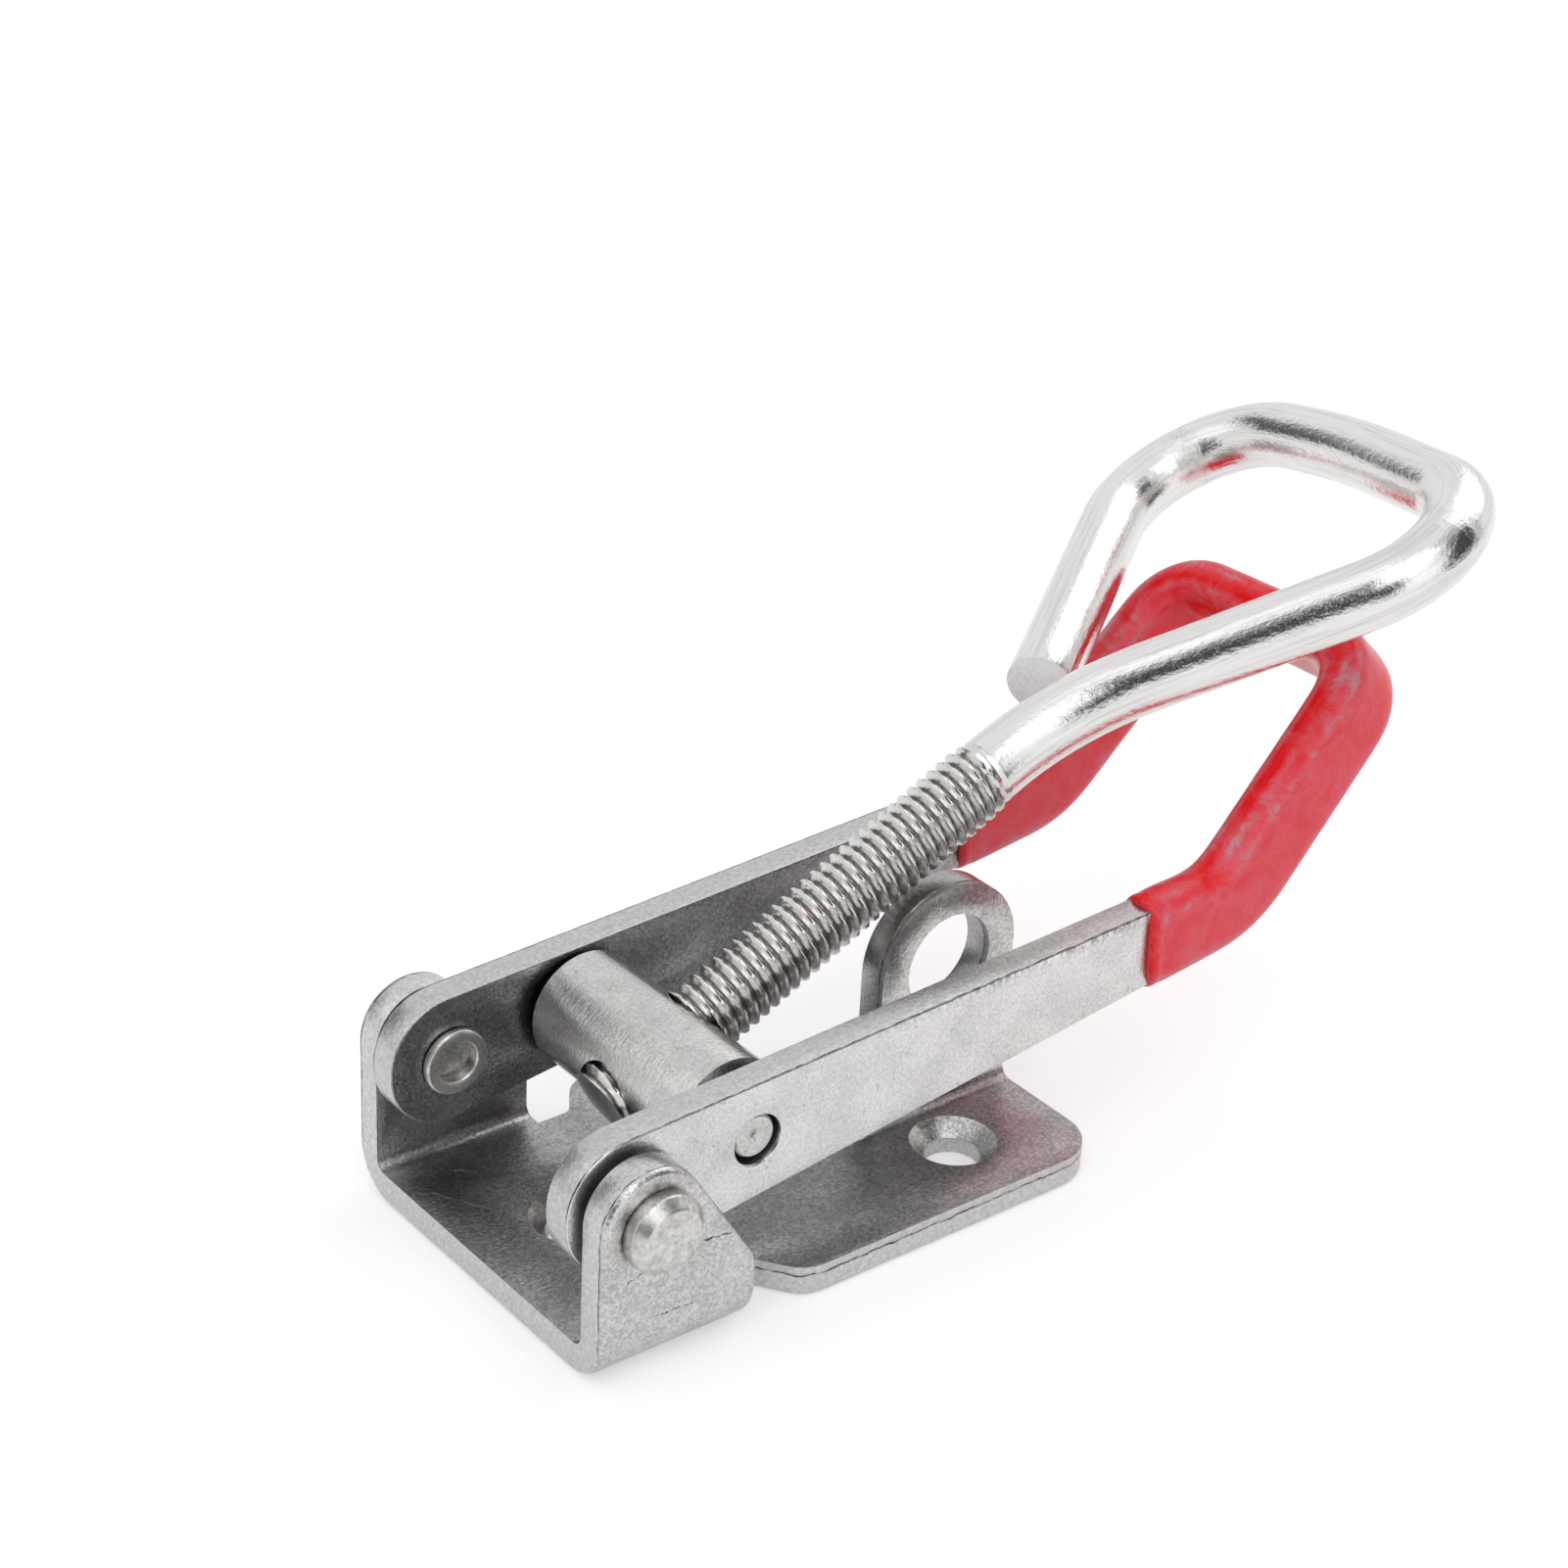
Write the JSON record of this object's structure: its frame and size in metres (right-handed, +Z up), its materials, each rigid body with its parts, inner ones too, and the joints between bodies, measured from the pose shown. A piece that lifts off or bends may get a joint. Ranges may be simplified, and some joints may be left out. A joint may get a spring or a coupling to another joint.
{
  "type": "over centre toggle latch",
  "caption": "Steel over centre toggle latch with a folded base and padlock tab, a U handle with a dipped grip, and a threaded hook in a trunnion barrel.",
  "frame": {"origin": "on the underside of the base, below the middle of the ears' round tops, on the centre plane", "axes": "+X from the ears towards the grip, +Y towards the side away from the wing's screw hole, +Z up"},
  "size_m": [0.0874, 0.0403, 0.0506],
  "materials": {
    "tumbled_steel": "tumbled sheet, mottled satin grey",
    "bar_steel": "tumbled bar, light satin",
    "rivet_steel": "cold headed, satin",
    "turned_steel": "turned, satin",
    "bright_steel": "bright drawn wire with a rolled thread",
    "red_vinyl": "dipped soft vinyl, glossy with scuffs"
  },
  "bodies": {
    "base": {"base": "tumbled_steel", "rivet_near": "rivet_steel", "rivet_far": "rivet_steel"},
    "handle": {"handle": "bar_steel", "grip": "red_vinyl"},
    "barrel": {"barrel": "turned_steel"},
    "hook": {"hook": "bright_steel"}
  },
  "joints": [
    {"name": "handle_pivot", "type": "hinge", "parent": "base", "child": "handle", "pos_m": [0.0003, 0, 0.01215], "axis": [0, -1, 0], "range_deg": [0, 172]},
    {"name": "trunnion_swivel", "type": "hinge", "parent": "handle", "child": "barrel", "pos_m": [0.0111, 0, 0.0134], "axis": [0, -1, 0], "range_deg": [0, 176]},
    {"name": "hook_adjust", "type": "slide", "parent": "barrel", "child": "hook", "axis": [0.8996, 0, 0.4368], "range_m": [-0.004, 0.0004]}
  ]
}
